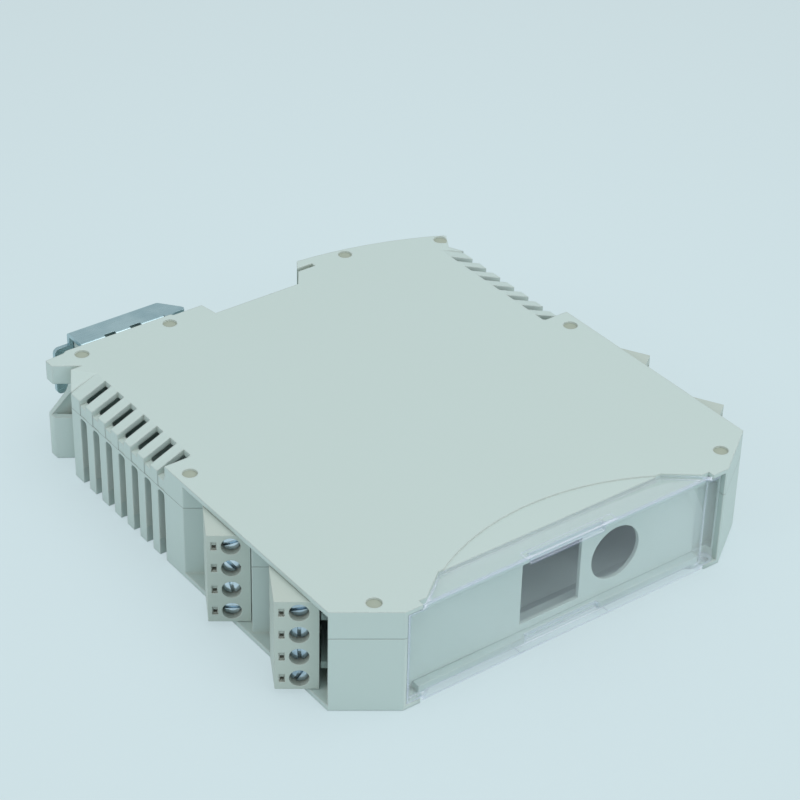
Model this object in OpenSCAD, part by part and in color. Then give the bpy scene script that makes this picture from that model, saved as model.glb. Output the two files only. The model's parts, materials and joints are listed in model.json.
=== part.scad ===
// DIN rail enclosure for electronics, lying on its side plate.
// X runs along the height of the housing, Y from the front face to the rail,
// Z across the width. The origin is under the middle of the overall box.
// The housing is two moulded shells. Pluggable screw terminals sit in four
// slanted bays, a clear cover folds over the front panel, and a sprung metal
// latch at the rear grips the rail against the fixed hook.

/* [Housing] */
// Height of the housing between its two terminal sides
case_h = 99; // [96:0.5:106]
// Depth from the front face to the rail seat
seat_depth = 107.3; // [104:0.1:116]
// Thickness of the two side plates
plate_t = 1.1; // [0.9:0.1:1.3]
// Thickness of the walls between the plates
wall_t = 1.8; // [1.4:0.1:2.1]
// Height of the parting line above the base
split_z = 16.5; // [14:0.5:17]
// Width of the slanted corner faces, measured along X
corner_w = 11.15; // [10:0.05:12]
// Slant of the corner faces and of the terminals
slant = 35; // [33:0.5:37]
// Depth of the recess left where each joining pin ends in a plate
pin_recess = 0.4; // [0.2:0.05:0.6]
// Diameter of the joining pins
join_pin_d = 2.6; // [2:0.1:3]

/* [Terminals] */
// Distance from pole to pole
pitch = 5; // [5:0.02:5.1]
// Gap between a plug and the side plates
plug_gap = 0.15; // [0.1:0.05:0.3]
// Width of the screw face of a plug
face_w = 8.1; // [7.9:0.1:8.1]
// Depth of a plug body behind its screw face
plug_d = 14.6; // [14.4:0.1:14.8]
// How far the outer corner of a plug stands out of the housing side
plug_reach = 4.5; // [4:0.1:5]
// Depth of a bay behind the screw face of a seated plug
bay_d = 15; // [15:0.1:15.6]
// Distance from the front face to the outer corner of the front plug
bay_first = 18.1; // [17.6:0.1:18.6]
// Distance from the front plug to the rear plug
bay_step = 22.2; // [22:0.1:23]
// How far the front left plug is drawn out of its seat
plug_drawn = 1.3; // [0:0.1:1.6]
// Diameter of the holes over the clamp screws
screw_hole_d = 3.7; // [3.6:0.05:3.8]
// Diameter of the clamp screw shank
screw_d = 2.4; // [2.2:0.1:2.5]
// Length by which a clamp cage rises
cage_lift = 2.5; // [2:0.1:2.5]
// Length of the nose that enters the header
nose_l = 5.2; // [4.5:0.1:5.4]

/* [Vents] */
// Number of vent slots on each side
vents = 7; // [5:1:7]
// Distance from slot to slot
vent_pitch = 4.87; // [4.6:0.01:4.9]
// Width of a vent slot
vent_w = 2.35; // [1.8:0.05:2.6]
// Distance from the rearmost slot to the rail seat
vent_back = 14.7; // [14.3:0.1:16.3]
// Length of the sloped band that the lid slots cross, measured along X
vent_band = 6.1; // [5:0.1:7]
// Drop of the sloped band at the side of the housing
vent_drop = 2.6; // [2:0.1:3]

/* [Front] */
// Length of the clear cover
cover_l = 75.2; // [74:0.1:75.4]
// Thickness of the clear cover
cover_t = 1.2; // [1:0.1:1.4]
// Thickness of the cheeks that lie on the side plates
cheek_t = 0.8; // [0.6:0.05:0.9]
// Reach of the cheeks behind the front face
cheek_d = 6; // [5:0.1:7]
// Rise of the shallow arc pressed into the side plates
arc_rise = 12.8; // [10:0.1:14]
// Depth of the shallow arc
arc_sink = 0.3; // [0.2:0.05:0.35]
// Distance from the front face to the front panel
panel_y = 3.2; // [3.2:0.1:3.6]
// Thickness of the front panel
panel_t = 0.8; // [0.6:0.1:1.8]
// Width of the square window in the front panel
window_w = 14.2; // [10:0.1:14.5]
// Height of the square window in the front panel
window_h = 14.1; // [10:0.1:15]
// Diameter of the round hole in the front panel
button_d = 11.7; // [8:0.1:12]

/* [Rail latch] */
// Thickness of the rail edge
rail_t = 1; // [1:0.1:1.1]
// Thickness of the latch sheet
sheet_t = 0.9; // [0.8:0.05:1]
// Depth of the latch behind the rail seat
latch_d = 7.2; // [6.8:0.1:7.6]
// Distance by which the latch slides to free the rail
latch_travel = 4; // [3:0.1:4.2]
// Wire diameter of the latch spring
wire_d = 0.5; // [0.4:0.05:0.6]
// Coil diameter of the latch spring
coil_d = 4.2; // [3.8:0.1:4.6]

/* [Hidden] */

$fn = 48;
eps = 0.01;

// Poles in each plug, and width of the standard rail
poles = 4;
rail_w = 35;

// Bay name, side of the housing, row from the front, and draw out of the seat
BAYS = [
    ["front_left", -1, 0, plug_drawn],
    ["rear_left", -1, 1, 0],
    ["front_right", 1, 0, 0],
    ["rear_right", 1, 1, 0]
];
// How far each clamp screw is turned, from the base upwards
SLOT_TURNS = [[60, 95, 90, 10], [0, 102, 130, 20], [25, 80, 140, 0], [70, 10, 115, 45]];

shell_color = [0.90, 0.91, 0.88];
plug_color = [0.84, 0.83, 0.78];
zinc_color = [0.62, 0.66, 0.70];
brass_color = [0.78, 0.66, 0.38];

// Overall sizes
plug_h = poles * pitch;
case_w = plug_h + 2 * (plug_gap + plate_t);
mid_z = case_w / 2;
side = case_h / 2;
corner_d = corner_w * tan(slant);
front_half = side - corner_w;
latch_rear = seat_depth + latch_d;
front_y = -latch_rear / 2;

// Rear of the side plates
notch_d = 4.3;
notch_left = -11.3;
notch_right = 9.5;
step_x = -12;
hook_x = rail_w / 2 - 0.6;
hook_root = hook_x - 4.4;
hook_gap = rail_t + 0.2;
hook_nose = hook_root + 0.5;
hook_tip = hook_root + 2.2;
crown_r = 88.3;
crown_x = 8.6;
crown_top = seat_depth + 3.95;
crown_end = side - 1.2;
vent_last = seat_depth - vent_back;
waist_y = vent_last + 4.5;
ear_y = seat_depth - 6.1;
ear_tip = side;
sill_y = seat_depth + 0.55;

// Front opening
cover_gap = 0.15;
opening_half = cover_l / 2 + cover_gap;
pad_t = 2.6;
pad_d = 8.5;
arc_half = 34.2;
arc_r = (arc_half * arc_half + arc_rise * arc_rise) / (2 * arc_rise);
cheek_half = 26.5;
cheek_z = arc_sink;
cheek_sink = cheek_z + cheek_t + 0.05;
groove_d = 0.6;
panel_gap = 0.05;
panel_x1 = cover_l / 2 - 3.7;
barrel_r = 1.5;
hinge_x = cover_l / 2 - barrel_r - 0.1;
hinge_y = barrel_r;
hinge_d = 1.6;
hinge_gap = 0.05;
snap_x = [-9, 8.5];
snap_t = 0.8;
snap_gap = 0.3;

// Vents
vent_in = side - vent_band;
vent_z0 = 3.7;
band_step = 0.4;
skin_t = 1.2;
ledge_drop = 1.1;
pocket_d = 0.12;

// Bays: u runs along the screw face from its outer corner, w runs inwards
bay_side_u = [9.6, 8.35];
rib_z = [4.2, 5.7];
rib_over = [1.2, 0.4];
header_u0 = 1.7;
header_u1 = 7.3;
header_d = 8;
header_wall = 0.4;
header_base = 2;
header_rim = 0.8;
nose_gap = 0.1;
screw_u = 4.5;
chamber_w0 = 3.9;
chamber_u0 = 2.1;
chamber_u1 = 6.9;
chamber_h = 4.3;
head_w = 1.2;
head_t = 1.5;
cage_gap = 0.2;
cage_w0 = chamber_w0 + cage_gap + cage_lift;
cage_l = 6.9;
cage_h = 4;
cage_u0 = chamber_u0 + cage_gap;
cage_u1 = chamber_u1 - 2 * cage_gap;
cage_top = 1.3;
cage_floor = 0.8;
cage_window_h = 2.5;
screw_tip = cage_w0 + cage_top - 0.2;
chamber_w1 = cage_w0 + cage_l + cage_gap;
bar_w = cage_w0 + cage_top + 0.1;
bar_t = 0.8;
bar_h = 2.2;
bar_u1 = 7.5;
pin_t = 1;

// Inward unit normal of the outline edge that starts at point a and ends at b
function inward(a, b) = let (d = b - a) [-d[1], d[0]] / norm(d);

// The outline p, given anticlockwise, moved inwards by t
function inset(p, t) = [
    for (i = [0:len(p) - 1])
        let (
            n0 = inward(p[(i + len(p) - 1) % len(p)], p[i]),
            n1 = inward(p[i], p[(i + 1) % len(p)])
        )
        p[i] + t * (n0 + n1) / (1 + n0 * n1)
];

// A point of a bay on the right side, from its u and w
function bay_point(row, u, w) = [
    side + plug_reach - u * cos(slant) - w * sin(slant),
    bay_first + row * bay_step - u * sin(slant) + w * cos(slant)
];

function flip(p) = [-p[0], p[1]];
function reversed(list) = [for (i = [len(list) - 1:-1:0]) list[i]];

// Where a line of direction [-sin, cos] of the slant through point p meets depth w of a bay
function edge_u(x, w) = (side + plug_reach - x - w * sin(slant)) / cos(slant);

// The stepped wall of one terminal side, from the corner to the waist
bay_wall = [
    [side, corner_d],
    bay_point(0, bay_side_u[0], bay_d),
    bay_point(0, bay_side_u[1] - bay_step * sin(slant), bay_d),
    bay_point(1, bay_side_u[1], bay_d),
    bay_point(1, edge_u(side, bay_d), bay_d)
];

// Slots that find room behind the bays
vent_first = bay_point(1, edge_u(side, bay_d), bay_d)[1] + 5;
vent_count = min(vents, 1 + floor((vent_last - vent_first) / vent_pitch));
vent_front = vent_last - (vent_count - 1) * vent_pitch - vent_w / 2 - band_step;

crown = [
    for (i = [0:8])
        let (x = crown_end + (hook_tip - crown_end) * i / 8)
        [x, crown_top - crown_r + sqrt(crown_r * crown_r - (x - crown_x) * (x - crown_x))]
];
crown_inner = [for (p = crown) if (p[0] > hook_x + 2) p];

rear_right = concat([[side, waist_y], [side - 3.2, waist_y + 1.2]], crown);
hook = [
    [hook_nose, seat_depth + hook_gap],
    [hook_x, seat_depth + hook_gap],
    [hook_x, seat_depth],
    [hook_root, seat_depth],
    [notch_right, seat_depth - notch_d]
];
notch = [
    [notch_left, seat_depth - notch_d],
    [step_x, seat_depth]
];
rear_left = [
    [-rail_w / 2 - 1.4, seat_depth],
    [-rail_w / 2 - 1.9, sill_y],
    [-side + 5.2, sill_y],
    [-side + 4.3, seat_depth],
    [-ear_tip, seat_depth - 0.4],
    [-ear_tip, seat_depth - 2.8],
    [-side + 5.1, ear_y],
    [-side + 2.5, ear_y],
    [-side, waist_y]
];
front_edge = [[-front_half, 0], [front_half, 0]];

plate_outline = concat(
    front_edge, [[side, corner_d]], rear_right, hook, notch, rear_left, [[-side, corner_d]]
);
wall_outline = concat(
    front_edge, bay_wall, rear_right, hook, notch, rear_left, [for (p = reversed(bay_wall)) flip(p)]
);
cavity_outline = concat(
    front_edge,
    bay_wall,
    [[side, waist_y], [side - 3.2, waist_y + 1.2]],
    crown_inner,
    [[hook_x + 2, seat_depth + 1], [hook_root, seat_depth], [notch_right, seat_depth - notch_d]],
    notch,
    [[-side + 6, seat_depth], [-side + 5.1, ear_y], [-side, waist_y]],
    [for (p = reversed(bay_wall)) flip(p)]
);

// Places of the pins that join the two shells
join_pins = [
    [-side + 8.2, 5.4],
    [side - 8.2, 5.4],
    [-side + 2.8, bay_point(1, 0, bay_d)[1] + 4.6],
    [side - 2.8, bay_point(1, 0, bay_d)[1] + 4.6],
    [-side + 7.3, seat_depth - 2.3],
    [-side + 28.2, seat_depth - 2.3],
    [25, seat_depth + 0.3],
    [side - 3.5, seat_depth - 6.3]
];
pin_boss_d = 4.8;
pin_l = 7;
pin_gap = 0.05;

// Rail latch
latch_x0 = -side + 9.2;
latch_x1 = -rail_w / 2 - 2;
latch_tip = -rail_w / 2 + 1.9;
latch_y = sill_y + 0.2;
latch_z = 0.3;
tip_y = seat_depth + rail_t + 0.2;
lip_h = 2.4;
lip_l = [5.7, 3.5, 5.5];
lip_x1 = latch_x1 - 1;
lip_relief = 1.2;
tongue_x = latch_x0 - 3.5;
tongue_z = [8.5, 19.4];
guide_x = [latch_x0 + 1, lip_x1];
guide_gap = 0.15;
stem_z = latch_z + sheet_t + lip_h + guide_gap;
head_z = latch_z + sheet_t + guide_gap;

// Latch spring, in a pocket of the guide between the wall of the pocket and a tab of the latch
coil_turns = 8;
coil_steps = 20;
wire_sides = 8;
spring_gap = 0.15;
spring_z = coil_d / 2 + 0.9;
tab_x = latch_x1 - 4.5;
spring_l = coil_turns * wire_d + latch_travel + 2;
spring_x = tab_x - spring_l;
spring_y = latch_rear - sheet_t - spring_gap - coil_d / 2;
pocket_y = spring_y - coil_d / 2 - spring_gap;

// Puts what is built from the front face at its place in the part
module place() {
    translate([0, front_y, 0])
        children();
}

// Puts what is built in a bay's own directions at its place
module in_bay(bay, drawn = 0) {
    mirror([bay[1] > 0 ? 1 : 0, 0, 0])
        translate([-(side + plug_reach), bay_first + bay[2] * bay_step, 0])
            rotate([0, 0, -slant])
                translate([0, -drawn, 0])
                    children();
}

module both_sides() {
    children();
    mirror([1, 0, 0])
        children();
}

module slab(points, z0, z1) {
    translate([0, 0, z0])
        linear_extrude(z1 - z0)
            polygon(points);
}

module block(x, y, z) {
    translate([x[0], y[0], z[0]])
        cube([x[1] - x[0], y[1] - y[0], z[1] - z[0]]);
}

// A bar along Y with the outline p in the XZ plane
module bar_along_y(p, y0, y1) {
    translate([0, y1, 0])
        rotate([90, 0, 0])
            linear_extrude(y1 - y0)
                polygon(p);
}

// Plan of a cover cheek, or of its recess when it is grown by g
module cheek_plan(g = 0) {
    slope = (arc_half - cheek_half) / cheek_d;
    x0 = arc_half + slope * g + g * norm([1, slope]);
    x1 = x0 - slope * (cheek_d + 2 * g);
    polygon([[-x0, -g], [x0, -g], [x1, cheek_d + g], [-x1, cheek_d + g]]);
}

// The shallow arc and the deeper cheek recess, cut into the plate face at height z, opening upwards
module front_recess() {
    intersection() {
        translate([0, arc_rise - arc_r, case_w - arc_sink])
            cylinder(r = arc_r, h = 2, $fn = 180);
        block([-side, side], [-1, arc_rise + 1], [case_w - 1, case_w + 1]);
    }
    translate([0, 0, case_w - cheek_sink])
        linear_extrude(3)
            cheek_plan(cover_gap);
}

// Everything that both shells share before they are parted
module full_shell() {
    difference() {
        union() {
            slab(plate_outline, 0, plate_t);
            slab(plate_outline, case_w - plate_t, case_w);
            slab(wall_outline, eps, case_w - eps);
        }
        difference() {
            slab(inset(cavity_outline, wall_t), plate_t, case_w - plate_t);
            // Pads that carry the front panel and the cover
            for (z = [[0, pad_t], [case_w - pad_t, case_w]])
                block([-side, side], [-1, pad_d], z);
            // Sloped skin under the vent band
            both_sides()
                bar_along_y([[vent_in - 1.5, case_w], [vent_in - 1.5, case_w - plate_t],
                             [vent_in, case_w - plate_t - 0.3], [side, case_w - vent_drop - skin_t],
                             [side, case_w]], vent_front, waist_y + 4);
            joining_bosses();
            // Wall behind the hinged end of the cover
            block([cover_l / 2 - 3.4, side], [panel_y + 1, panel_y + 1 + wall_t], [0, case_w]);
        }
        front_opening();
        both_sides()
            sloped_band();
        for (z = [0, 1])
            translate([0, 0, z * case_w])
                mirror([0, 0, z])
                    for (p = join_pins)
                        translate([p[0], p[1], -1])
                            cylinder(d = join_pin_d + 0.4, h = 1 + pin_recess);
        front_recess();
        translate([0, 0, case_w])
            mirror([0, 0, 1])
                front_recess();
    }
}

module joining_bosses() {
    for (p = join_pins)
        translate([p[0], p[1], 0])
            cylinder(d = pin_boss_d, h = case_w);
}

// Opening for the cover and the grooves for the front panel
module front_opening() {
    lip_t = cheek_z + cheek_t - cover_gap;
    block([-opening_half, opening_half], [-1, cover_t + cover_gap], [lip_t, case_w - lip_t]);
    block([-arc_half - 2 * cover_gap, arc_half + 2 * cover_gap], [-1, cover_t + cover_gap],
          [-1, case_w + 1]);
    block([-opening_half, opening_half], [-1, panel_y + 1], [pad_t, case_w - pad_t]);
    // Room for the ends of the cover and for its snap ribs
    both_sides()
        block([panel_x1 + panel_gap, opening_half], [-1, panel_y + panel_gap], [lip_t, case_w - lip_t]);
    block([snap_x[0] - snap_gap, snap_x[1] + snap_gap], [-1, cover_t + snap_t + snap_gap],
          [lip_t, case_w - lip_t]);
    // Panel grooves
    block([-opening_half, panel_x1 + panel_gap], [panel_y - panel_gap, panel_y + panel_t + panel_gap],
          [pad_t - groove_d, case_w - pad_t + groove_d]);
    // Hinge sockets
    translate([hinge_x, hinge_y, cheek_z])
        cylinder(d = hinge_d + 2 * hinge_gap, h = case_w - 2 * cheek_z);
}

// Wedge that lowers the lid along the vents, and the ramp that rises again behind it
module sloped_band() {
    bar_along_y([[vent_in, case_w + eps], [side + 2, case_w - vent_drop * (vent_band + 2) / vent_band],
                 [side + 2, case_w + eps]], vent_front, waist_y);
    // Corners of the ramp: inner front, outer front and outer rear
    reach = 1.3;
    foot = [
        [vent_in, waist_y, case_w],
        [vent_in + reach * vent_band, waist_y, case_w - reach * (vent_drop - band_step)],
        [vent_in + reach * (vent_band - 2.5), waist_y + reach * (ear_y - waist_y), case_w]
    ];
    polyhedron(concat(foot, [for (p = foot) p + [0, 0, vent_drop]]),
               [[0, 1, 2], [3, 5, 4], [0, 3, 4, 1], [1, 4, 5, 2], [2, 5, 3, 0]]);
}

// Slots through the sloped band of the lid, ending in a notch in the side
module lid_vents() {
    ledge_z = case_w - vent_drop - ledge_drop;
    for (i = [0:vent_count - 1])
        translate([0, vent_last - i * vent_pitch, 0]) {
            block([vent_in, side + 1], [-vent_w / 2, vent_w / 2], [ledge_z, case_w + 1]);
            block([side - pocket_d, side + 1], [-vent_w / 2, vent_w / 2], [split_z - 1, case_w]);
        }
}

// Upright slots through the side wall of the body, with round upper corners
module body_vents() {
    vent_z1 = split_z - 0.6;
    r = 0.8;
    for (i = [0:vent_count - 1])
        translate([side - wall_t - 1, vent_last - i * vent_pitch, 0])
            rotate([90, 0, 90])
                linear_extrude(wall_t + 2)
                    union() {
                        translate([-vent_w / 2, vent_z0])
                            square([vent_w, vent_z1 - r - vent_z0]);
                        translate([-vent_w / 2 + r, vent_z0])
                            square([vent_w - 2 * r, vent_z1 - vent_z0]);
                        for (x = [-1, 1])
                            translate([x * (vent_w / 2 - r), vent_z1 - r])
                                circle(r);
                    }
}

// Openings of the back walls of the bays, which hold the headers
module header_openings() {
    for (b = BAYS)
        in_bay(b)
            block([header_u0, header_u1], [bay_d - 1, bay_d + wall_t + 1], [plate_t, case_w - plate_t]);
}

// Ribs that steady the front plugs beside the corner face
module bay_ribs(z) {
    for (b = BAYS)
        if (b[2] == 0)
            in_bay(b)
                block([face_w + 0.25, bay_side_u[0] + 0.5], [1, bay_d - 2], z);
}

// Rear guide that the latch rides on, with the pocket of the spring
module latch_guide() {
    head_y = latch_y + sheet_t + guide_gap;
    difference() {
        union() {
            block(guide_x, [seat_depth - wall_t, head_y + eps], [stem_z, case_w - stem_z]);
            block(guide_x, [head_y, latch_rear - sheet_t - guide_gap], [head_z, case_w - head_z]);
        }
        block([spring_x, guide_x[1] + 1], [pocket_y, latch_rear], [mid_z - spring_z, mid_z + spring_z]);
    }
}

// Lower half of the ear beside the latch, a pocket with a sloping rear wall
module ear_pocket() {
    rim_z = 10;
    translate([0, 0, rim_z])
        linear_extrude(split_z)
            polygon([[-ear_tip - 1, ear_y - 1], [-side + 2.8, ear_y - 1], [-side + 5.2, ear_y + 1.2],
                     [-side + 5.2, seat_depth - 1.4], [-ear_tip - 1, seat_depth - 1.4]]);
    bar_along_y([[-ear_tip - 1, rim_z], [-ear_tip, rim_z], [-side + 5.2, 14.2], [-side + 5.2, split_z + 1],
                 [-ear_tip - 1, split_z + 1]], seat_depth - 2, seat_depth + 1);
    translate([0, 0, 2])
        linear_extrude(rim_z)
            polygon([[-ear_tip + 1.2, seat_depth - 1.9], [-side + 4.4, ear_y + 1.9],
                     [-side + 4.4, seat_depth - 1.4], [-ear_tip + 1.2, seat_depth - 1.4]]);
}

module body_shell() {
    color(shell_color)
        place()
            difference() {
                union() {
                    intersection() {
                        full_shell();
                        block([-case_h, case_h], [-1, latch_rear], [-1, split_z]);
                    }
                    intersection() {
                        latch_guide();
                        block([-case_h, case_h], [-1, latch_rear], [-1, split_z]);
                    }
                    bay_ribs(rib_z);
                    bay_ribs([split_z - rib_over[0], split_z]);
                }
                for (p = join_pins)
                    translate([p[0], p[1], split_z - pin_l - 0.5])
                        cylinder(d = join_pin_d + 2 * pin_gap, h = pin_l + 1);
                both_sides()
                    body_vents();
                header_openings();
                ear_pocket();
            }
}

module lid_shell() {
    color(shell_color)
        place() {
            difference() {
                union() {
                    intersection() {
                        full_shell();
                        block([-case_h, case_h], [-1, latch_rear], [split_z, case_w + 1]);
                    }
                    intersection() {
                        latch_guide();
                        block([-case_h, case_h], [-1, latch_rear], [split_z, case_w + 1]);
                    }
                    bay_ribs([split_z, split_z + rib_over[1]]);
                }
                both_sides()
                    lid_vents();
                header_openings();
                // The ear is open below its flank
                translate([0, 0, split_z - 1])
                    linear_extrude(2.7)
                        polygon([[-ear_tip - 1, ear_y - 1], [-side + 2.8, ear_y - 1],
                                 [-side + 5.2, ear_y + 1.2], [-side + 5.2, seat_depth + 1],
                                 [-ear_tip - 1, seat_depth + 1]]);
            }
            for (p = join_pins)
                translate([p[0], p[1], split_z - pin_l])
                    cylinder(d = join_pin_d, h = pin_l + 1);
        }
}

module front_panel() {
    window_x = -2.1;
    button_x = 13.6;
    color(shell_color)
        place()
            difference() {
                block([-opening_half + 0.3, panel_x1], [panel_y, panel_y + panel_t],
                      [pad_t - groove_d, case_w - pad_t + groove_d]);
                block([window_x - window_w / 2, window_x + window_w / 2],
                      [panel_y - 1, panel_y + panel_t + 1],
                      [mid_z - window_h / 2, mid_z + window_h / 2]);
                translate([button_x, panel_y - 1, mid_z])
                    rotate([-90, 0, 0])
                        cylinder(d = button_d, h = panel_t + 2);
            }
}

module front_cover() {
    lip_t = cheek_z + cheek_t;
    end_t = 1;
    end_d = 2.8;
    color([0.85, 0.90, 0.95, 0.35])
        place() {
            block([-cover_l / 2, hinge_x], [0, cover_t], [lip_t, case_w - lip_t]);
            // Free end, with a lip for a fingernail
            block([-cover_l / 2, -cover_l / 2 + end_t], [0, end_d], [lip_t, case_w - lip_t]);
            // Hinge barrel
            translate([hinge_x, hinge_y, lip_t])
                cylinder(r = barrel_r, h = case_w - 2 * lip_t);
            // Cheeks on the side plates
            for (k = [0, 1])
                translate([0, 0, k * case_w])
                    mirror([0, 0, k]) {
                        translate([0, 0, cheek_z])
                            linear_extrude(cheek_t + eps)
                                cheek_plan();
                        // Finger ridge, and the snap rib behind the front plate
                        block([-11, 10.5], [0.3, 2], [cheek_z - 0.2, cheek_z + eps]);
                        block(snap_x, [cover_t - eps, cover_t + snap_t], [lip_t, lip_t + 1.7]);
                        // Hinge pin
                        translate([hinge_x, hinge_y, cheek_z + 0.15])
                            cylinder(d = hinge_d, h = cheek_t + 1);
                    }
        }
}

// Plan of the latch flange, with the tip that reaches behind the rail edge
flange_plan = [
    [latch_x0, latch_y + lip_relief],
    [lip_x1, latch_y + lip_relief],
    [lip_x1 + 0.2, latch_y],
    [latch_x1 + 0.6, latch_y],
    [latch_x1 + 1.6, tip_y],
    [latch_tip, tip_y],
    [latch_tip + 0.3, tip_y + 0.7],
    [latch_tip - 0.1, tip_y + 1.4],
    [latch_x1, latch_rear],
    [latch_x0, latch_rear]
];

// Spans of the three folded lips, the middle one halfway between the others
lips = let (mid_x = (latch_x0 + lip_l[0] + lip_x1 - lip_l[2]) / 2) [
    [latch_x0, latch_x0 + lip_l[0]],
    [mid_x - lip_l[1] / 2, mid_x + lip_l[1] / 2],
    [lip_x1 - lip_l[2], lip_x1]
];

// What a bend of the sheet leaves free outside it, along x, for a bend centred at y
module bend_cut(x, y, rear) {
    translate([x[0], y, latch_z + sheet_t])
        rotate([90, 0, 90])
            linear_extrude(x[1] - x[0])
                difference() {
                    translate([rear ? 0 : -2, -2])
                        square(2);
                    circle(sheet_t);
                }
}

module rail_latch() {
    color(zinc_color)
        place() {
            for (k = [0, 1])
                translate([0, 0, k * case_w])
                    mirror([0, 0, k])
                        difference() {
                            union() {
                                slab(flange_plan, latch_z, latch_z + sheet_t);
                                // Folded lips that run in the guide
                                for (x = lips) {
                                    block(x, [latch_y, latch_y + sheet_t],
                                          [latch_z, latch_z + sheet_t + lip_h]);
                                    block(x, [latch_y, latch_y + 2 * lip_relief],
                                          [latch_z, latch_z + sheet_t]);
                                }
                                // Rear web
                                block([latch_x0, latch_x1], [latch_rear - sheet_t, latch_rear],
                                      [latch_z, mid_z + eps]);
                            }
                            bend_cut([latch_x0 - 1, lip_x1 + eps], latch_y + sheet_t, false);
                            bend_cut([latch_x0 - 1, latch_x1 + 1], latch_rear - sheet_t, true);
                        }
            // Pull tongue at the end of the web
            translate([0, latch_rear, 0])
                rotate([90, 0, 0])
                    linear_extrude(sheet_t)
                        tongue_plan();
            // Tab that bears on the spring
            block([tab_x, tab_x + sheet_t], [pocket_y + guide_gap, latch_rear - eps],
                  [mid_z - spring_z + 0.5, mid_z + spring_z - 0.5]);
        }
}

module tongue_plan() {
    r = 1.2;
    translate([tongue_x + r, tongue_z[0]])
        square([latch_x0 - tongue_x, tongue_z[1] - tongue_z[0]]);
    translate([tongue_x, tongue_z[0] + r])
        square([latch_x0 - tongue_x, tongue_z[1] - tongue_z[0] - 2 * r]);
    for (z = [tongue_z[0] + r, tongue_z[1] - r])
        translate([tongue_x + r, z])
            circle(r);
}

// Place along the spring at turn t; the first and last turns lie close to their neighbours
function coil_x(t) = let (end = 1.2 * wire_d, l = spring_l - wire_d)
    t < 1 ? t * end :
    t > coil_turns - 1 ? l - (coil_turns - t) * end :
    end + (t - 1) * (l - 2 * end) / (coil_turns - 2);

module latch_spring() {
    steps = coil_turns * coil_steps;
    points = [
        for (i = [0:steps]) for (j = [0:wire_sides - 1])
            let (
                a = 360 * i / coil_steps,
                b = 360 * j / wire_sides,
                r = (coil_d - wire_d + wire_d * cos(b)) / 2
            )
            [coil_x(i / coil_steps) + wire_d / 2 * sin(b), r * cos(a), r * sin(a)]
    ];
    sides = [
        for (i = [0:steps - 1]) for (j = [0:wire_sides - 1])
            let (k = (j + 1) % wire_sides, a = i * wire_sides, b = a + wire_sides)
            each [[a + j, b + j, b + k], [a + j, b + k, a + k]]
    ];
    ends = [
        [for (j = [0:wire_sides - 1]) j],
        [for (j = [wire_sides - 1:-1:0]) steps * wire_sides + j]
    ];
    color(zinc_color)
        place()
            translate([spring_x + wire_d / 2, spring_y, mid_z])
                polyhedron(points, concat(sides, ends));
}

function pole_z(i) = plate_t + plug_gap + pitch * (i - 0.5);

module plug(bay) {
    z0 = plate_t + plug_gap;
    nose_u0 = header_u0 + header_wall + nose_gap;
    nose_u1 = header_u1 - header_wall - nose_gap;
    nose_z = header_rim + nose_gap + plate_t;
    color(plug_color)
        place()
            in_bay(bay, bay[3])
                difference() {
                    union() {
                        slab([[0, 0], [face_w, 0], [face_w, plug_d], [-1, plug_d], [-1, 9.6], [-0.55, 5.4]],
                             z0, z0 + plug_h);
                        block([nose_u0, nose_u1], [plug_d - 1, plug_d + nose_l], [nose_z, case_w - nose_z]);
                    }
                    for (i = [1:poles])
                        translate([0, 0, pole_z(i)])
                            pole_cuts();
                }
}

// Holes of one pole: screw, chamber, wire entry, test slot and the path of the contact
module pole_cuts() {
    translate([screw_u, -1, 0])
        rotate([-90, 0, 0])
            cylinder(d = screw_hole_d, h = 1 + head_w + head_t + 0.1);
    translate([screw_u, 0, 0])
        rotate([-90, 0, 0])
            cylinder(d = screw_d + 0.3, h = chamber_w0 + 1);
    block([chamber_u0, chamber_u1], [chamber_w0, chamber_w1], [-chamber_h / 2, chamber_h / 2]);
    block([-3, chamber_u0 + 1], [9.2, 12.6], [-1.7, 1.7]);
    block([0.8, 1.9], [-1, 0.45], [-0.85, 0.95]);
    block([0.95, 1.75], [0, 1.6], [-0.75, 0]);
    contact_path(0);
    block([3.3, 5.7], [chamber_w1 + bar_t - 0.1, plug_d + nose_l + 1], [-1.25, 1.25]);
}

// The bent contact bar, or the room for it
module contact_path(shorten) {
    block([chamber_u0 + shorten, bar_u1], [bar_w, bar_w + bar_t], [-bar_h / 2, bar_h / 2]);
    block([bar_u1 - bar_t, bar_u1], [bar_w, chamber_w1 + bar_t], [-bar_h / 2, bar_h / 2]);
    block([3.3, bar_u1], [chamber_w1, chamber_w1 + bar_t], [-bar_h / 2, bar_h / 2]);
}

module contacts(bay) {
    color(brass_color)
        place()
            in_bay(bay, bay[3])
                for (i = [1:poles])
                    translate([0, 0, pole_z(i)]) {
                        contact_path(0.6);
                        difference() {
                            block([3.3, 5.7], [chamber_w1 + bar_t - eps, plug_d + nose_l - 0.3],
                                  [-1.25, 1.25]);
                            block([screw_u - 0.65, screw_u + 0.65],
                                  [chamber_w1 + bar_t + 0.6, plug_d + nose_l + 1], [-0.65, 0.65]);
                        }
                    }
}

module header(bay) {
    color([0.80, 0.79, 0.74])
        place()
            in_bay(bay)
                difference() {
                    block([header_u0, header_u1], [bay_d, bay_d + header_d], [plate_t, case_w - plate_t]);
                    block([header_u0 + header_wall, header_u1 - header_wall],
                          [bay_d - 1, bay_d + header_d - header_base],
                          [plate_t + header_rim, case_w - plate_t - header_rim]);
                    for (i = [1:poles])
                        translate([0, 0, pole_z(i)])
                            block([screw_u - pin_t / 2, screw_u + pin_t / 2], [bay_d, bay_d + header_d + 1],
                                  [-pin_t / 2, pin_t / 2]);
                }
}

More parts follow.
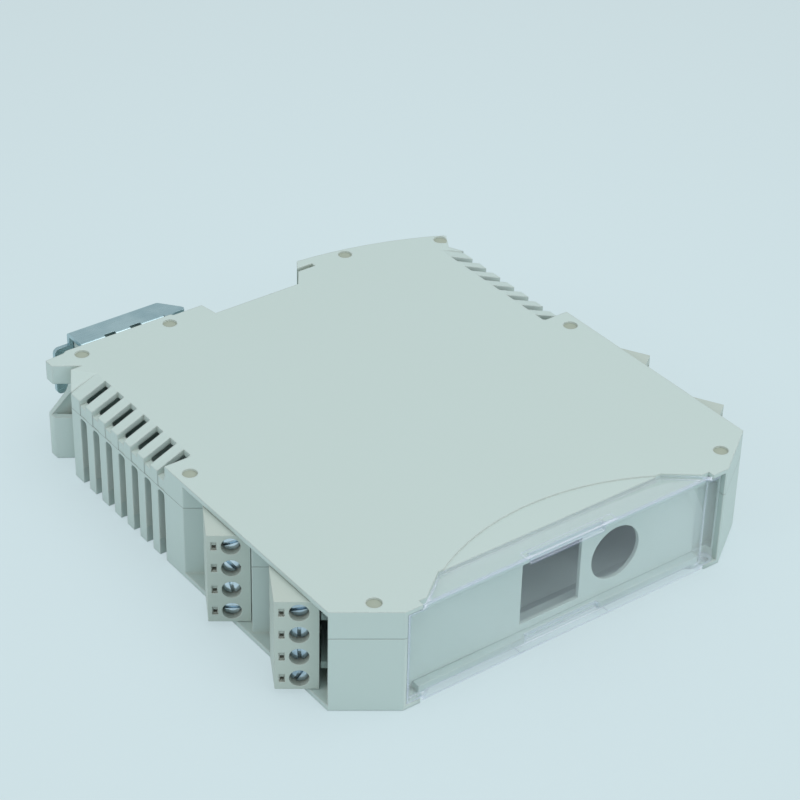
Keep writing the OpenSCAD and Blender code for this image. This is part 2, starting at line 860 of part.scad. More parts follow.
module header_pins(bay) {
    color(brass_color)
        place()
            in_bay(bay)
                for (i = [1:poles])
                    translate([0, 0, pole_z(i)])
                        block([screw_u - pin_t / 2, screw_u + pin_t / 2], [bay_d + 0.8, bay_d + header_d + 3],
                              [-pin_t / 2, pin_t / 2]);
}

module screw(bay, index, i) {
    color(zinc_color)
        place()
            in_bay(bay, bay[3])
                translate([screw_u, head_w, pole_z(i)])
                    rotate([-90, 0, 0])
                        difference() {
                            union() {
                                cylinder(r = screw_hole_d / 2 - 0.15, h = head_t);
                                cylinder(d = screw_d, h = screw_tip - head_w);
                            }
                            rotate([0, 0, -SLOT_TURNS[index][i - 1]])
                                translate([-screw_hole_d, -0.32, -1])
                                    cube([2 * screw_hole_d, 0.64, 1.7]);
                        }
}

module cage(bay, i) {
    color(zinc_color)
        place()
            in_bay(bay, bay[3])
                translate([0, 0, pole_z(i)])
                    difference() {
                        block([cage_u0, cage_u1], [cage_w0, cage_w0 + cage_l], [-cage_h / 2, cage_h / 2]);
                        block([cage_u0 - 1, cage_u1 + 1], [cage_w0 + cage_top, cage_w0 + cage_l - cage_floor],
                              [-cage_window_h / 2, cage_window_h / 2]);
                        translate([screw_u, cage_w0 - 1, 0])
                            rotate([-90, 0, 0])
                                cylinder(d = screw_d + 0.1, h = cage_top + 2);
                    }
}

body_shell();
lid_shell();
front_panel();
front_cover();
rail_latch();
latch_spring();
for (n = [0:len(BAYS) - 1]) {
    plug(BAYS[n]);
    contacts(BAYS[n]);
    header(BAYS[n]);
    header_pins(BAYS[n]);
    for (i = [1:poles]) {
        screw(BAYS[n], n, i);
        cage(BAYS[n], i);
    }
}
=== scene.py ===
"""The looks of a slim rail-mounted electronics housing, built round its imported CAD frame.

Each sub-assembly is a class that holds its sizes and dresses its pieces. Lengths are in
metres unless a name ends in _mm, in the same frame as the CAD part.
"""
import json
import logging
import math
from collections.abc import Callable
from dataclasses import dataclass, field
from enum import Enum

import bpy
from mathutils import Matrix, Vector


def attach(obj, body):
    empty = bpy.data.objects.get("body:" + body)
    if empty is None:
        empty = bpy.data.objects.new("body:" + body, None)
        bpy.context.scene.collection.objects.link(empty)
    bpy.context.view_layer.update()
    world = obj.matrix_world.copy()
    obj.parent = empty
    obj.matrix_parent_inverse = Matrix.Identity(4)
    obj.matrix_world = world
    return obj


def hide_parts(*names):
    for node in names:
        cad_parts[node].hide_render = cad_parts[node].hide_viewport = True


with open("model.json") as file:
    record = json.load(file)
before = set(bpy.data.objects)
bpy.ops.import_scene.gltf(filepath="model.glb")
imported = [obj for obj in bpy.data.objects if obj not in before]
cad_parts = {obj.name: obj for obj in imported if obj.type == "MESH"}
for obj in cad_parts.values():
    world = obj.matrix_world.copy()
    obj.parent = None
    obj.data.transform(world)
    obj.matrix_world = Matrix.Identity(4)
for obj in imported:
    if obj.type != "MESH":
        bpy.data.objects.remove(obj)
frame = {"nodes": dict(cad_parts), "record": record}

log = logging.getLogger("housing")
MM = 0.001
POLES = (1, 2, 3, 4)
# Corners this near are one corner, and faces this flat in degrees are one face
SAME_CORNER = 0.002 * MM
SAME_FACE = 0.5


class Bay(Enum):
    """The four terminal bays, by the name that their nodes carry."""

    FRONT_LEFT = "front_left"
    REAR_LEFT = "rear_left"
    FRONT_RIGHT = "front_right"
    REAR_RIGHT = "rear_right"


# How far each clamp screw of a plug is turned, in degrees, from the lowest pole up
SLOT_TURNS = {
    Bay.FRONT_LEFT: (60, 95, 90, 10),
    Bay.REAR_LEFT: (0, 102, 130, 20),
    Bay.FRONT_RIGHT: (25, 80, 140, 0),
    Bay.REAR_RIGHT: (70, 10, 115, 45),
}


def linear(code: str) -> tuple[float, float, float, float]:
    """Turns an sRGB hex colour into the linear colour that shaders use.

    Args:
        code: The colour as "#RRGGBB".

    Returns:
        Red, green, blue and an alpha of 1.
    """
    parts = [int(code[i:i + 2], 16) / 255 for i in (1, 3, 5)]
    light = [p / 12.92 if p <= 0.04045 else ((p + 0.055) / 1.055) ** 2.4 for p in parts]
    return (light[0], light[1], light[2], 1.0)


def add_node(tree: bpy.types.NodeTree, kind: str, inputs: dict, **settings) -> bpy.types.Node:
    """Adds a node to a tree with its settings and links.

    Args:
        tree: The tree that gets the node.
        kind: The node's type name.
        inputs: Value or output socket for each input, by the input's name or number. A map range
            takes its value as 0, its source as 1 and 2 and its target as 3 and 4, and a colour mix
            its factor as 0 and its two colours as 6 and 7.
        settings: Attributes of the node.

    Returns:
        The new node.
    """
    node = tree.nodes.new(kind)
    for name, value in settings.items():
        setattr(node, name, value)
    for key, value in inputs.items():
        if isinstance(value, bpy.types.NodeSocket):
            tree.links.new(value, node.inputs[key])
        else:
            node.inputs[key].default_value = value
    return node


def new_material(name: str) -> tuple[bpy.types.Material, bpy.types.NodeTree]:
    """Makes an empty node material.

    Args:
        name: The material's name.

    Returns:
        The material and its tree.
    """
    material = bpy.data.materials.new(name)
    material.use_nodes = True
    material.node_tree.nodes.clear()
    return material, material.node_tree


def dress(thing: bpy.types.Object, material: bpy.types.Material) -> None:
    """Gives a piece or a CAD node one material all over.

    Args:
        thing: The object to dress.
        material: Its material.
    """
    thing.data.materials.clear()
    thing.data.materials.append(material)


def select_only(thing: bpy.types.Object) -> None:
    """Deselects everything and makes one object selected and active.

    Args:
        thing: The object to select.
    """
    bpy.ops.object.select_all(action="DESELECT")
    thing.select_set(True)
    bpy.context.view_layer.objects.active = thing


def select_faces(thing: bpy.types.Object, keep: Callable[[Vector, Vector], bool]) -> None:
    """Selects the faces of the object in edit mode that a test keeps.

    Args:
        thing: The object that is being edited.
        keep: Takes a face's centre and normal and returns whether to select it.
    """
    bpy.ops.mesh.select_mode(type="FACE")
    bpy.ops.mesh.select_all(action="DESELECT")
    bpy.ops.object.mode_set(mode="OBJECT")
    for face in thing.data.polygons:
        face.select = keep(face.center, face.normal)
    bpy.ops.object.mode_set(mode="EDIT")


def merged_copy(node: str, name: str) -> bpy.types.Object:
    """Copies a CAD node and merges its doubled corners and flat faces.

    Args:
        node: Name of the node.
        name: Name of the copy.

    Returns:
        The copy, selected.
    """
    copy = bpy.data.objects.new(name, frame["nodes"][node].data.copy())
    bpy.context.scene.collection.objects.link(copy)
    select_only(copy)
    bpy.ops.object.mode_set(mode="EDIT")
    bpy.ops.mesh.select_all(action="SELECT")
    bpy.ops.mesh.remove_doubles(threshold=SAME_CORNER)
    bpy.ops.mesh.dissolve_limited(angle_limit=math.radians(SAME_FACE))
    bpy.ops.object.mode_set(mode="OBJECT")
    return copy


def round_edges(thing: bpy.types.Object, width: float, segments: int, angle: float) -> None:
    """Rounds the sharp edges of an object and smooths what is left between them.

    Args:
        thing: The object.
        width: Width of the rounding.
        segments: Faces across it.
        angle: Least angle in degrees of an edge that gets rounded.
    """
    select_only(thing)
    bevel = thing.modifiers.new("rounded", "BEVEL")
    bevel.width = width
    bevel.segments = segments
    bevel.limit_method = "ANGLE"
    bevel.angle_limit = math.radians(angle)
    bpy.ops.object.modifier_apply(modifier=bevel.name)
    bpy.ops.object.shade_smooth_by_angle(angle=math.radians(angle))


@dataclass(frozen=True)
class LevelMark:
    """A band of colour at one height of a moulding, on the faces that turn one way.

    Attributes:
        level_mm: Height of the middle of the band.
        half_mm: Half its width.
        tilt: Upward part of the normal of the faces that take it, 0 on a wall and 1 on a floor.
        paint: Its colour.
        strength: Share of the colour.
    """

    level_mm: float
    half_mm: float
    tilt: float
    paint: str
    strength: float


@dataclass(frozen=True)
class MouldedPlastic:
    """Injection-moulded ABS or polyamide: a dull grained skin whose rounded edges get a painted highlight.

    Attributes:
        name: Name of the material.
        face: Colour of the open faces.
        edge: Colour of the painted highlight on the rounded edges.
        hollow_shade_and_cloud: Colour of the painted shade in recesses and slots, warmed as by light going
            from wall to wall; the faint clouds lean towards it too.
        roughness: Mean roughness of the skin.
        round_mm: Radius of the edges.
        hollow_mm: How near the walls of a recess have to be for the painted shade.
        cloud_mm: Size of the faint clouds in the colour.
        grain_mm: Size of the eroded grain of the mould, drawn coarser than life so that it shows.
        grain_depth_mm: Depth of the grain.
        marks: The parting line and the floors of the pin recesses.
    """

    name: str
    face: str
    edge: str
    hollow_shade_and_cloud: str
    roughness: float = 0.5
    round_mm: float = 0.22
    hollow_mm: float = 4.0
    cloud_mm: float = 30.0
    grain_mm: float = 0.35
    grain_depth_mm: float = 0.03
    marks: tuple[LevelMark, ...] = ()

    def material(self) -> bpy.types.Material:
        """Builds the node material.

        Returns:
            The material.
        """
        material, tree = new_material(self.name)
        place = add_node(tree, "ShaderNodeTexCoord", {}).outputs["Object"]
        rounded = add_node(tree, "ShaderNodeBevel", {"Radius": self.round_mm * MM}, samples=6)
        flat = add_node(tree, "ShaderNodeNewGeometry", {}).outputs["Normal"]
        along = add_node(tree, "ShaderNodeVectorMath", {0: rounded.outputs["Normal"], 1: flat},
                         operation="DOT_PRODUCT")
        shade = add_node(tree, "ShaderNodeAmbientOcclusion", {"Distance": self.hollow_mm * MM},
                         samples=6, only_local=True)
        cloud = add_node(tree, "ShaderNodeTexNoise",
                         {"Vector": place, "Scale": 1 / (self.cloud_mm * MM), "Detail": 3.0})
        # Layered over the face colour: painted shade in recesses and slots, faint random clouds, and a
        # painted highlight on the rounded edges
        layers = [(shade.outputs["AO"], (0.7, 0.25, 0.0, 1.0), self.hollow_shade_and_cloud),
                  (cloud.outputs["Fac"], (0.3, 0.7, 0.0, 0.06), self.hollow_shade_and_cloud),
                  (along.outputs["Value"], (0.995, 0.8, 0.0, 0.8), self.edge)]
        height = add_node(tree, "ShaderNodeSeparateXYZ", {0: place}).outputs["Z"]
        upward = add_node(tree, "ShaderNodeSeparateXYZ", {0: flat}).outputs["Z"]
        for mark in self.marks:
            near = add_node(tree, "ShaderNodeMath",
                            {0: height, 1: mark.level_mm * MM, 2: mark.half_mm * MM}, operation="COMPARE")
            turned = add_node(tree, "ShaderNodeMath", {0: upward, 1: mark.tilt, 2: 0.002},
                              operation="COMPARE")
            both = add_node(tree, "ShaderNodeMath", {0: near.outputs[0], 1: turned.outputs[0]},
                            operation="MULTIPLY")
            layers.append((both.outputs[0], (0.0, 1.0, 0.0, mark.strength), mark.paint))
        colour = linear(self.face)
        for value, span, paint in layers:
            mask = add_node(tree, "ShaderNodeMapRange",
                            {0: value, 1: span[0], 2: span[1], 3: span[2], 4: span[3]})
            colour = add_node(tree, "ShaderNodeMix", {0: mask.outputs[0], 6: colour, 7: linear(paint)},
                              data_type="RGBA").outputs[2]
        grain = add_node(tree, "ShaderNodeTexNoise",
                         {"Vector": place, "Scale": 1 / (self.grain_mm * MM), "Detail": 2.0})
        gloss = add_node(tree, "ShaderNodeMapRange",
                         {0: grain.outputs["Fac"], 1: 0.3, 2: 0.7,
                          3: self.roughness - 0.05, 4: self.roughness + 0.07})
        bump = add_node(tree, "ShaderNodeBump",
                        {"Height": grain.outputs["Fac"], "Strength": 0.12,
                         "Distance": self.grain_depth_mm * MM, "Normal": rounded.outputs["Normal"]})
        shader = add_node(tree, "ShaderNodeBsdfPrincipled",
                          {"Base Color": colour, "Roughness": gloss.outputs[0], "IOR": 1.53,
                           "Specular IOR Level": 0.35, "Normal": bump.outputs["Normal"]})
        add_node(tree, "ShaderNodeOutputMaterial", {"Surface": shader.outputs["BSDF"]})
        return material


@dataclass(frozen=True)
class ClearPlastic:
    """Moulded clear polycarbonate: glossy, with a painted violet highlight along its edges.

    Attributes:
        name: Name of the material.
        body: Colour of the plastic.
        rim: Colour of the painted violet highlight along the edges.
        line: Colour of the painted highlight on the very edges.
        roughness: Roughness of the polished faces.
        rim_mm: Width of the band along an edge that gets the painted highlight.
        wave_mm: Length of the flow waves in the faces.
    """

    name: str
    body: str
    rim: str
    line: str
    roughness: float = 0.04
    rim_mm: float = 1.1
    wave_mm: float = 9.0

    def material(self) -> bpy.types.Material:
        """Builds the node material.

        Returns:
            The material.
        """
        material, tree = new_material(self.name)
        place = add_node(tree, "ShaderNodeTexCoord", {}).outputs["Object"]
        flow = add_node(tree, "ShaderNodeTexNoise",
                        {"Vector": place, "Scale": 1 / (self.wave_mm * MM), "Detail": 2.0})
        bump = add_node(tree, "ShaderNodeBump",
                        {"Height": flow.outputs["Fac"], "Strength": 0.04, "Distance": 0.1 * MM})
        rounded = add_node(tree, "ShaderNodeBevel", {"Radius": self.rim_mm * MM}, samples=6)
        flat = add_node(tree, "ShaderNodeNewGeometry", {}).outputs["Normal"]
        along = add_node(tree, "ShaderNodeVectorMath", {0: rounded.outputs["Normal"], 1: flat},
                         operation="DOT_PRODUCT").outputs["Value"]
        # Painted highlight along the edges: a violet band that turns to a bright line at the very edge, with
        # a faint haze of it over the faces
        band = add_node(tree, "ShaderNodeMapRange", {0: along, 1: 0.99, 2: 0.75, 3: 0.015, 4: 0.75})
        lit = add_node(tree, "ShaderNodeMapRange", {0: along, 1: 0.9, 2: 0.78, 3: 0.0, 4: 1.0})
        tint = add_node(tree, "ShaderNodeMix",
                        {0: lit.outputs[0], 6: linear(self.rim), 7: linear(self.line)}, data_type="RGBA")
        haze_and_edge_highlight = add_node(tree, "ShaderNodeBsdfPrincipled",
                        {"Base Color": tint.outputs[2], "Roughness": 0.2, "IOR": 1.58})
        clear = add_node(tree, "ShaderNodeBsdfTransparent", {"Color": linear(self.body)})
        body = add_node(tree, "ShaderNodeMixShader",
                        {0: band.outputs[0], 1: clear.outputs[0], 2: haze_and_edge_highlight.outputs[0]})
        # Facing is the same on the inner side of a wall, where Fresnel would turn to full reflection
        facing = add_node(tree, "ShaderNodeLayerWeight", {"Blend": 0.5, "Normal": bump.outputs["Normal"]})
        shine = add_node(tree, "ShaderNodeMapRange",
                         {0: facing.outputs["Facing"], 1: 0.35, 2: 1.0, 3: 0.05, 4: 0.6})
        mirror = add_node(tree, "ShaderNodeBsdfGlossy",
                          {"Color": linear("#FFFFFF"), "Roughness": self.roughness,
                           "Normal": bump.outputs["Normal"]})
        whole = add_node(tree, "ShaderNodeMixShader",
                         {0: shine.outputs[0], 1: body.outputs[0], 2: mirror.outputs[0]})
        # Light that goes through to what lies behind isn't held back
        path = add_node(tree, "ShaderNodeLightPath", {})
        through = add_node(tree, "ShaderNodeMath",
                           {0: path.outputs["Is Shadow Ray"], 1: path.outputs["Is Diffuse Ray"]},
                           operation="MAXIMUM")
        cast = add_node(tree, "ShaderNodeMixShader",
                        {0: through.outputs[0], 1: whole.outputs[0], 2: clear.outputs[0]})
        add_node(tree, "ShaderNodeOutputMaterial", {"Surface": cast.outputs[0]})
        return material


@dataclass(frozen=True)
class PlatedSteel:
    """Plated sheet or wire: a metal skin that clouds between two tones, with fine rolling marks.

    Attributes:
        name: Name of the material.
        light: Colour of the bare plating.
        dark: Colour where the passivation is thick.
        roughness: Mean roughness.
        stretch: How far the rolling marks are drawn out along X.
        round_mm: Radius of the edges.
        cloud_mm: Size of the clouds of passivation.
        mark_mm: Spacing of the rolling marks, which are finer in life than this, so that they show.
    """

    name: str
    light: str
    dark: str
    roughness: float = 0.32
    stretch: float = 12.0
    round_mm: float = 0.12
    cloud_mm: float = 7.0
    mark_mm: float = 0.4

    def material(self) -> bpy.types.Material:
        """Builds the node material.

        Returns:
            The material.
        """
        material, tree = new_material(self.name)
        place = add_node(tree, "ShaderNodeTexCoord", {}).outputs["Object"]
        rolled = add_node(tree, "ShaderNodeMapping", {"Vector": place, "Scale": (1 / self.stretch, 1.0, 1.0)})
        cloud = add_node(tree, "ShaderNodeTexNoise",
                         {"Vector": place, "Scale": 1 / (self.cloud_mm * MM), "Detail": 3.0})
        marks = add_node(tree, "ShaderNodeTexNoise",
                         {"Vector": rolled.outputs["Vector"], "Scale": 1 / (self.mark_mm * MM),
                          "Detail": 3.0})
        thick = add_node(tree, "ShaderNodeMapRange",
                         {0: cloud.outputs["Fac"], 1: 0.35, 2: 0.65, 3: 0.0, 4: 1.0})
        colour = add_node(tree, "ShaderNodeMix",
                          {0: thick.outputs[0], 6: linear(self.light), 7: linear(self.dark)},
                          data_type="RGBA")
        gloss = add_node(tree, "ShaderNodeMapRange",
                         {0: marks.outputs["Fac"], 1: 0.3, 2: 0.7,
                          3: self.roughness - 0.08, 4: self.roughness + 0.1})
        rounded = add_node(tree, "ShaderNodeBevel", {"Radius": self.round_mm * MM}, samples=6)
        bump = add_node(tree, "ShaderNodeBump",
                        {"Height": marks.outputs["Fac"], "Strength": 0.15, "Distance": 0.01 * MM,
                         "Normal": rounded.outputs["Normal"]})
        shader = add_node(tree, "ShaderNodeBsdfPrincipled",
                          {"Base Color": colour.outputs[2], "Metallic": 1.0, "Roughness": gloss.outputs[0],
                           "Normal": bump.outputs["Normal"]})
        add_node(tree, "ShaderNodeOutputMaterial", {"Surface": shader.outputs["BSDF"]})
        return material


@dataclass
class Studio:
    """A pale sweep under even, soft light, and the camera.

    Attributes:
        floor: Colour of the sweep under the part.
        away: Colour of the sweep in the distance.
        glow: Share of the sweep that shows at its own colour, so that its shadows stay faint.
        ambient: Strength of the even light.
        eye: Where the camera stands.
        turn: Its turn about X, Y and Z in degrees.
        lens_mm: Its focal length on a sensor 36 mm wide.
        sweep_size: Length of the sweep's side.
        fade: Distances between which the sweep's colour changes.
    """

    floor: str = "#CFE1E6"
    away: str = "#C4D1D4"
    glow: float = 0.72
    ambient: float = 0.66
    eye: tuple[float, float, float] = (-0.24366, -0.32424, 0.29009)
    turn: tuple[float, float, float] = (56.4766, -1.1753, -36.4527)
    lens_mm: float = 110.217
    sweep_size: float = 8.0
    fade: tuple[float, float] = (0.1, 0.6)

    def camera(self) -> None:
        """Places the camera above the front left corner."""
        data = bpy.data.cameras.new("view")
        data.sensor_width = 36.0
        data.lens = self.lens_mm
        data.clip_start = 0.01
        data.clip_end = 50.0
        camera = bpy.data.objects.new("view", data)
        camera.location = self.eye
        camera.rotation_euler = [math.radians(angle) for angle in self.turn]
        bpy.context.scene.collection.objects.link(camera)
        bpy.context.scene.camera = camera

    def seen(self, tree: bpy.types.NodeTree) -> bpy.types.NodeSocket:
        """Adds nodes that tell the rays that look at the background from those that light the part.

        Args:
            tree: The tree that gets the nodes.

        Returns:
            A socket that is 1 for camera, glossy and transmission rays.
        """
        path = add_node(tree, "ShaderNodeLightPath", {})
        direct = add_node(tree, "ShaderNodeMath",
                          {0: path.outputs["Is Camera Ray"], 1: path.outputs["Is Transmission Ray"]},
                          operation="MAXIMUM")
        return add_node(tree, "ShaderNodeMath", {0: direct.outputs[0], 1: path.outputs["Is Glossy Ray"]},
                        operation="MAXIMUM").outputs[0]

    def world(self) -> None:
        """Lights the scene evenly, and shows the pale sweep to the camera, metal and glass."""
        world = bpy.data.worlds.new("studio")
        bpy.context.scene.world = world
        world.use_nodes = True
        tree = world.node_tree
        tree.nodes.clear()
        light = add_node(tree, "ShaderNodeBackground", {"Color": linear("#F8FCFB"), "Strength": self.ambient})
        shown = add_node(tree, "ShaderNodeBackground", {"Color": linear(self.away), "Strength": 1.0})
        mix = add_node(tree, "ShaderNodeMixShader",
                       {0: self.seen(tree), 1: light.outputs[0], 2: shown.outputs[0]})
        add_node(tree, "ShaderNodeOutputWorld", {"Surface": mix.outputs[0]})

    def lamp(self, name: str, place: tuple[float, float, float], size: float, power: float) -> None:
        """Adds a square lamp that faces the part.

        Args:
            name: The lamp's name.
            place: Where it hangs.
            size: Length of its side.
            power: Its power in watts.
        """
        data = bpy.data.lights.new(name, "AREA")
        data.shape = "SQUARE"
        data.size = size
        data.energy = power
        lamp = bpy.data.objects.new(name, data)
        lamp.location = place
        lamp.rotation_euler = (-Vector(place)).to_track_quat("-Z", "Y").to_euler()
        bpy.context.scene.collection.objects.link(lamp)

    def sweep(self) -> None:
        """Lays the pale floor."""
        bpy.ops.object.select_all(action="DESELECT")
        bpy.ops.mesh.primitive_plane_add(size=self.sweep_size, location=(0, 0, -0.0002))
        floor = bpy.context.object
        floor.name = "floor"
        material, tree = new_material("paper_sweep")
        place = add_node(tree, "ShaderNodeTexCoord", {}).outputs["Object"]
        far = add_node(tree, "ShaderNodeVectorMath", {0: place}, operation="LENGTH").outputs["Value"]
        faded = add_node(tree, "ShaderNodeMapRange",
                         {0: far, 1: self.fade[0], 2: self.fade[1], 3: 0.0, 4: 1.0})
        colour = add_node(tree, "ShaderNodeMix",
                          {0: faded.outputs[0], 6: linear(self.floor), 7: linear(self.away)},
                          data_type="RGBA").outputs[2]
        paper = add_node(tree, "ShaderNodeBsdfPrincipled",
                         {"Base Color": colour, "Roughness": 0.75, "Specular IOR Level": 0.2})
        shown = add_node(tree, "ShaderNodeEmission", {"Color": colour, "Strength": 1.0})
        share = add_node(tree, "ShaderNodeMath", {0: self.seen(tree), 1: self.glow}, operation="MULTIPLY")
        mix = add_node(tree, "ShaderNodeMixShader",
                       {0: share.outputs[0], 1: paper.outputs[0], 2: shown.outputs[0]})
        add_node(tree, "ShaderNodeOutputMaterial", {"Surface": mix.outputs[0]})
        dress(floor, material)

    def build(self) -> None:
        """Makes the camera, the light and the floor."""
        self.camera()
        bpy.context.scene.view_settings.view_transform = "Standard"
        self.world()
        self.lamp("overhead", (0.35, -0.25, 1.3), 1.2, 6.5)
        self.lamp("front", (0.25, -1.2, 0.55), 0.9, 2.5)
        self.lamp("left", (-1.2, 0.1, 0.55), 0.9, 2.6)
        self.sweep()


@dataclass
class Housing:
    """The two moulded shells and the panel behind the cover.

    Attributes:
        side: Distance from the middle to the outer face of either vented wall.
        wall: Thickness of that wall.
        slot_count: Vent slots in it.
        slot_back: Place along Y of the rearmost one.
        slot_pitch: Spacing of the slots.
        slot_width: Their width, a hair less than in the shell, so that no cut shares a face with it.
        slot_sill: Height below which they run on through the wall's foot.
        past: Extra length of the cutting bars, so that they leave the wall's foot on every side.
        smooth: Greatest angle in degrees that is shaded smooth.
        shell: Finish of the shells, with the parting line and the darker floors of the pin recesses.
        panel: Finish of the front panel.
    """

    side: float = 49.5 * MM
    wall: float = 1.8 * MM
    slot_count: int = 7
    slot_back: float = 35.35 * MM
    slot_pitch: float = 4.87 * MM
    slot_width: float = 2.33 * MM
    slot_sill: float = 4.2 * MM
    past: float = 1.0 * MM
    smooth: float = 30.0
    # Moulded ABS: light grey-green, dull, with painted highlights on its soft edges and painted shade in its
    # recesses
    shell: MouldedPlastic = MouldedPlastic(
        "light_grey_abs_moulded", "#BFD0CE", "#D2DDDA", "#BDC8BF", round_mm=0.4,
        marks=(LevelMark(16.5, 0.07, 0.0, "#7F8F8B", 0.7), LevelMark(22.1, 0.03, 1.0, "#A3AC9E", 0.95)))
    # The panel's paler edge colour and darker hollow colour are a painted highlight and painted shade too
    panel: MouldedPlastic = MouldedPlastic("panel_abs_moulded", "#C3D3D0", "#D0D9D5", "#BAC6BE")

    def open_slots(self, shell: bpy.types.Object) -> None:
        """Cuts the side slots on through the foot of the wall, so that the ribs end free.

        Args:
            shell: The shell to cut.
        """
        bpy.ops.object.select_all(action="DESELECT")
        bars = []
        for way in (-1, 1):
            for i in range(self.slot_count):
                along = self.slot_back - i * self.slot_pitch
                bpy.ops.mesh.primitive_cube_add(
                    size=1, location=(way * self.side, along, (self.slot_sill - self.past) / 2))
                bar = bpy.context.object
                bar.scale = (2 * self.wall + self.past, self.slot_width, self.slot_sill + self.past)
                bars.append(bar)
        for bar in bars:
            bar.select_set(True)
        bpy.ops.object.join()
        cutter = bpy.context.object
        cut = shell.modifiers.new("slots", "BOOLEAN")
        cut.operation = "DIFFERENCE"
        cut.object = cutter
        cut.solver = "EXACT"
        select_only(shell)
        bpy.ops.object.modifier_apply(modifier=cut.name)
        bpy.data.objects.remove(cutter, do_unlink=True)

    def build(self) -> None:
        """Dresses the shells and the panel; a cut copy of the lower shell stands for it."""
        material = self.shell.material()
        dress(frame["nodes"]["lid_shell"], material)
        dress(frame["nodes"]["front_panel"], self.panel.material())
        shell = merged_copy("body_shell", "lower_shell")
        self.open_slots(shell)
        bpy.ops.object.shade_smooth_by_angle(angle=math.radians(self.smooth))
        dress(shell, material)
        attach(shell, "housing")
        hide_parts("body_shell")
        log.info("housing: %d faces in the lower shell", len(shell.data.polygons))


@dataclass
class ClearCover:
    """The clear cover that folds over the front panel.

    Attributes:
        finish: Its plastic.
        edge: Radius of its edges.
    """

    # Moulded polycarbonate: clear, with painted violet highlight strips and bright painted highlight lines
    # along the edges
    finish: ClearPlastic = ClearPlastic("clear_polycarbonate_moulded", "#FCFDFD", "#9DAEE0", "#EEF3FF")
    edge: float = 0.12 * MM

    def build(self) -> None:
        """Rounds the edges of a merged copy of the cover, which then stands for it."""
        cover = merged_copy("front_cover", "clear_cover")
        round_edges(cover, self.edge, 2, 40)
        dress(cover, self.finish.material())
        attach(cover, "cover")
        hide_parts("front_cover")
        log.info("cover: %d faces", len(cover.data.polygons))


@dataclass
class RailLatch:
    """The sprung sheet-metal latch at the rear.

    Attributes:
        sheet: Finish of the latch.
        wire: Finish of the spring.
    """

    # Zinc-plated cold-rolled sheet: bluish grey, half dull, with clouds where the plating is thick
    sheet: PlatedSteel = PlatedSteel("zinc_plated_sheet", "#BFD3D8", "#A9C1C8", 0.3)
    # Drawn spring wire: darker and greyer than the sheet
    wire: PlatedSteel = PlatedSteel("drawn_spring_wire", "#A9B2B6", "#8C969B")

    def build(self) -> None:
        """Dresses the latch and its spring."""
        dress(frame["nodes"]["rail_latch"], self.sheet.material())
        dress(frame["nodes"]["latch_spring"], self.wire.material())
        log.info("latch dressed")


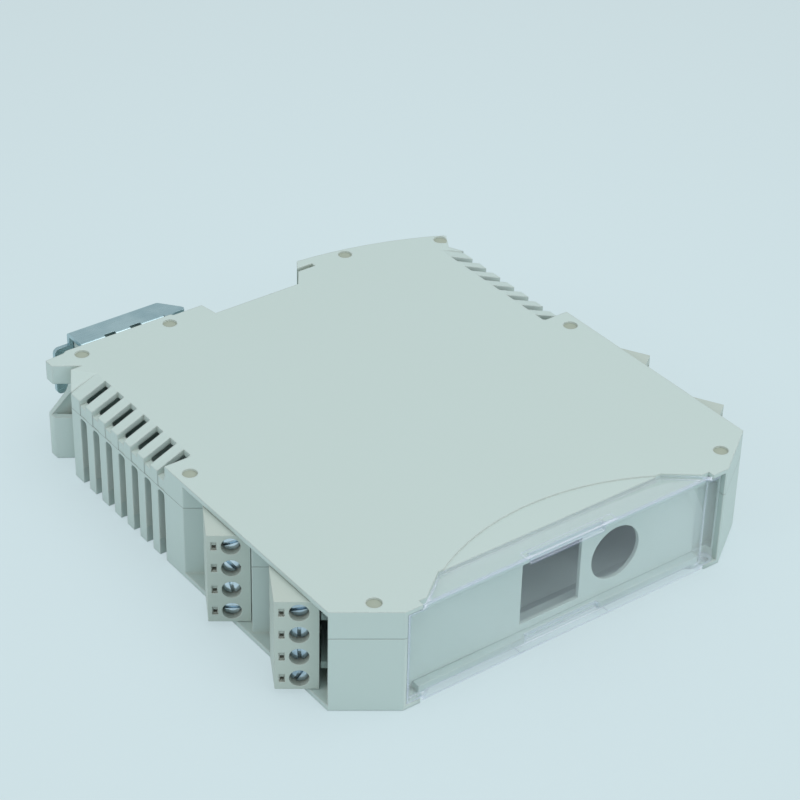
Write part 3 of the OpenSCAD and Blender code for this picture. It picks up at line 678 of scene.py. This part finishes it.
@dataclass
class ClampScrews:
    """The slotted clamp screws, modelled once and copied to the poles.

    Attributes:
        head_r: Radius of the head.
        head_t: Height of the head without its crown.
        crown: Rise of the crown.
        rings: Width of each of the two rings that the crown rises in, from the rim inward.
        rises: Share of the rise at each ring.
        slot: Width and depth of the slot.
        shank_r: Radius of the shank.
        shank_l: Length of the shank under the head.
        edge: Radius of the edges.
    """

    head_r: float = 1.7 * MM
    head_t: float = 1.38 * MM
    crown: float = 0.12 * MM
    rings: tuple[float, float] = (0.35 * MM, 0.6 * MM)
    rises: tuple[float, float] = (0.7, 0.3)
    slot: tuple[float, float] = (0.64 * MM, 0.7 * MM)
    shank_r: float = 1.2 * MM
    shank_l: float = 5.0 * MM
    edge: float = 0.07 * MM
    # Zinc-plated steel: bright, with blue-grey patches
    finish: PlatedSteel = PlatedSteel("zinc_plated_screw", "#DCE9F2", "#93A8B7", 0.17, 1.0)

    def pattern(self) -> bpy.types.Object:
        """Models one screw with the middle of its head's outer face at the origin and its shank down.

        Returns:
            The screw.
        """
        bpy.ops.object.select_all(action="DESELECT")
        top = -self.crown
        bpy.ops.mesh.primitive_cylinder_add(vertices=48, radius=self.head_r, depth=self.head_t,
                                            location=(0, 0, top - self.head_t / 2))
        screw = bpy.context.object
        select_only(screw)
        bpy.ops.object.transform_apply(location=True, rotation=True, scale=True)
        bpy.ops.object.mode_set(mode="EDIT")
        # The crown rises ring by ring to the middle of the head
        select_faces(screw, lambda centre, normal: normal.z > 0.9)
        for ring, rise in zip(self.rings, self.rises):
            bpy.ops.mesh.inset(thickness=ring)
            bpy.ops.transform.translate(value=(0, 0, rise * self.crown))
        # The shank
        select_faces(screw, lambda centre, normal: normal.z < -0.9)
        bpy.ops.mesh.inset(thickness=self.head_r - self.shank_r)
        bpy.ops.mesh.extrude_region_move(TRANSFORM_OT_translate={"value": (0, 0, -self.shank_l)})
        bpy.ops.object.mode_set(mode="OBJECT")
        # The slot is cut by a bar that is removed again
        width, depth = self.slot
        bar_h = depth + 0.3 * MM
        bpy.ops.object.select_all(action="DESELECT")
        bpy.ops.mesh.primitive_cube_add(size=1, location=(0, 0, bar_h / 2 - depth))
        bar = bpy.context.object
        bar.scale = (3 * self.head_r, width, bar_h)
        select_only(bar)
        bpy.ops.object.transform_apply(location=True, rotation=True, scale=True)
        cut = screw.modifiers.new("slot", "BOOLEAN")
        cut.operation = "DIFFERENCE"
        cut.object = bar
        cut.solver = "EXACT"
        select_only(screw)
        bpy.ops.object.modifier_apply(modifier=cut.name)
        bpy.data.objects.remove(bar, do_unlink=True)
        round_edges(screw, self.edge, 2, 35)
        return screw

    def build(self) -> None:
        """Copies the screw to every pole, turned as the CAD screw is, and removes the pattern."""
        material = self.finish.material()
        pattern = self.pattern()
        joints = {joint["name"]: joint for joint in frame["record"]["behaviour"]["joints"]}
        for bay in Bay:
            for pole in POLES:
                joint = joints[f"turn_{bay.value}_{pole}"]
                inward = Vector(joint["axis"]).normalized()
                across = inward.cross(Vector((0, 0, 1))) * (1 if inward.x > 0 else -1)
                turn = math.radians(SLOT_TURNS[bay][pole - 1])
                slot = across * math.cos(turn) + Vector((0, 0, 1)) * math.sin(turn)
                side = (-inward).cross(slot)
                place = Matrix((slot, side, -inward)).transposed().to_4x4()
                place.translation = Vector(joint["pos_m"])
                screw = bpy.data.objects.new(f"screw_piece_{bay.value}_{pole}", pattern.data.copy())
                bpy.context.scene.collection.objects.link(screw)
                screw.matrix_world = place
                select_only(screw)
                bpy.ops.object.transform_apply(location=True, rotation=True, scale=True)
                dress(screw, material)
                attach(screw, f"screw_{bay.value}_{pole}")
                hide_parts(f"screw_{bay.value}_{pole}")
        log.info("screws: %d faces each", len(pattern.data.polygons))
        bpy.data.objects.remove(pattern, do_unlink=True)


@dataclass
class Terminals:
    """The plugs with their clamps, and the headers that they enter.

    Attributes:
        plug: Finish of the plugs.
        header: Finish of the headers.
        cage: Finish of the wire cages.
        tin: Finish of the contact bars and the header pins.
        screws: The clamp screws.
    """

    # Moulded polyamide: a little darker, warmer and smoother than the shells
    # The paler edge colours and darker hollow colours of plugs and headers are painted highlight and painted
    # shade
    plug: MouldedPlastic = MouldedPlastic("plug_polyamide_moulded", "#B9C6C0", "#D2DBD5", "#A0A49B", 0.45)
    header: MouldedPlastic = MouldedPlastic("header_polyamide_moulded", "#C9C8BC", "#D6D4C8", "#8E8875", 0.45)
    # Zinc-plated steel: pale grey metal deep in the wire entries
    cage: PlatedSteel = PlatedSteel("zinc_plated_cage", "#C3CBCF", "#A2ADB3", 0.3)
    # Tinned brass: yellowish where the tin is thin
    tin: PlatedSteel = PlatedSteel("tinned_brass", "#D8CFAE", "#BFB084", 0.3)
    screws: ClampScrews = field(default_factory=ClampScrews)

    def build(self) -> None:
        """Dresses every plug, header, contact and cage, and puts in the screws."""
        plug, header = self.plug.material(), self.header.material()
        cage, tin = self.cage.material(), self.tin.material()
        nodes = frame["nodes"]
        for bay in Bay:
            dress(nodes[f"plug_{bay.value}"], plug)
            dress(nodes[f"header_{bay.value}"], header)
            dress(nodes[f"contacts_{bay.value}"], tin)
            dress(nodes[f"header_pins_{bay.value}"], tin)
            for pole in POLES:
                dress(nodes[f"cage_{bay.value}_{pole}"], cage)
                dress(nodes[f"screw_{bay.value}_{pole}"], cage)
            log.info("terminals of %s dressed", bay.value)
        self.screws.build()


def main() -> None:
    """Builds the studio and every sub-assembly in order."""
    logging.basicConfig(level=logging.INFO, format="%(name)s %(message)s")
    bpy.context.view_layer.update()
    Studio().build()
    for assembly in (Housing(), ClearCover(), RailLatch(), Terminals()):
        assembly.build()


if __name__ == "__main__":
    main()
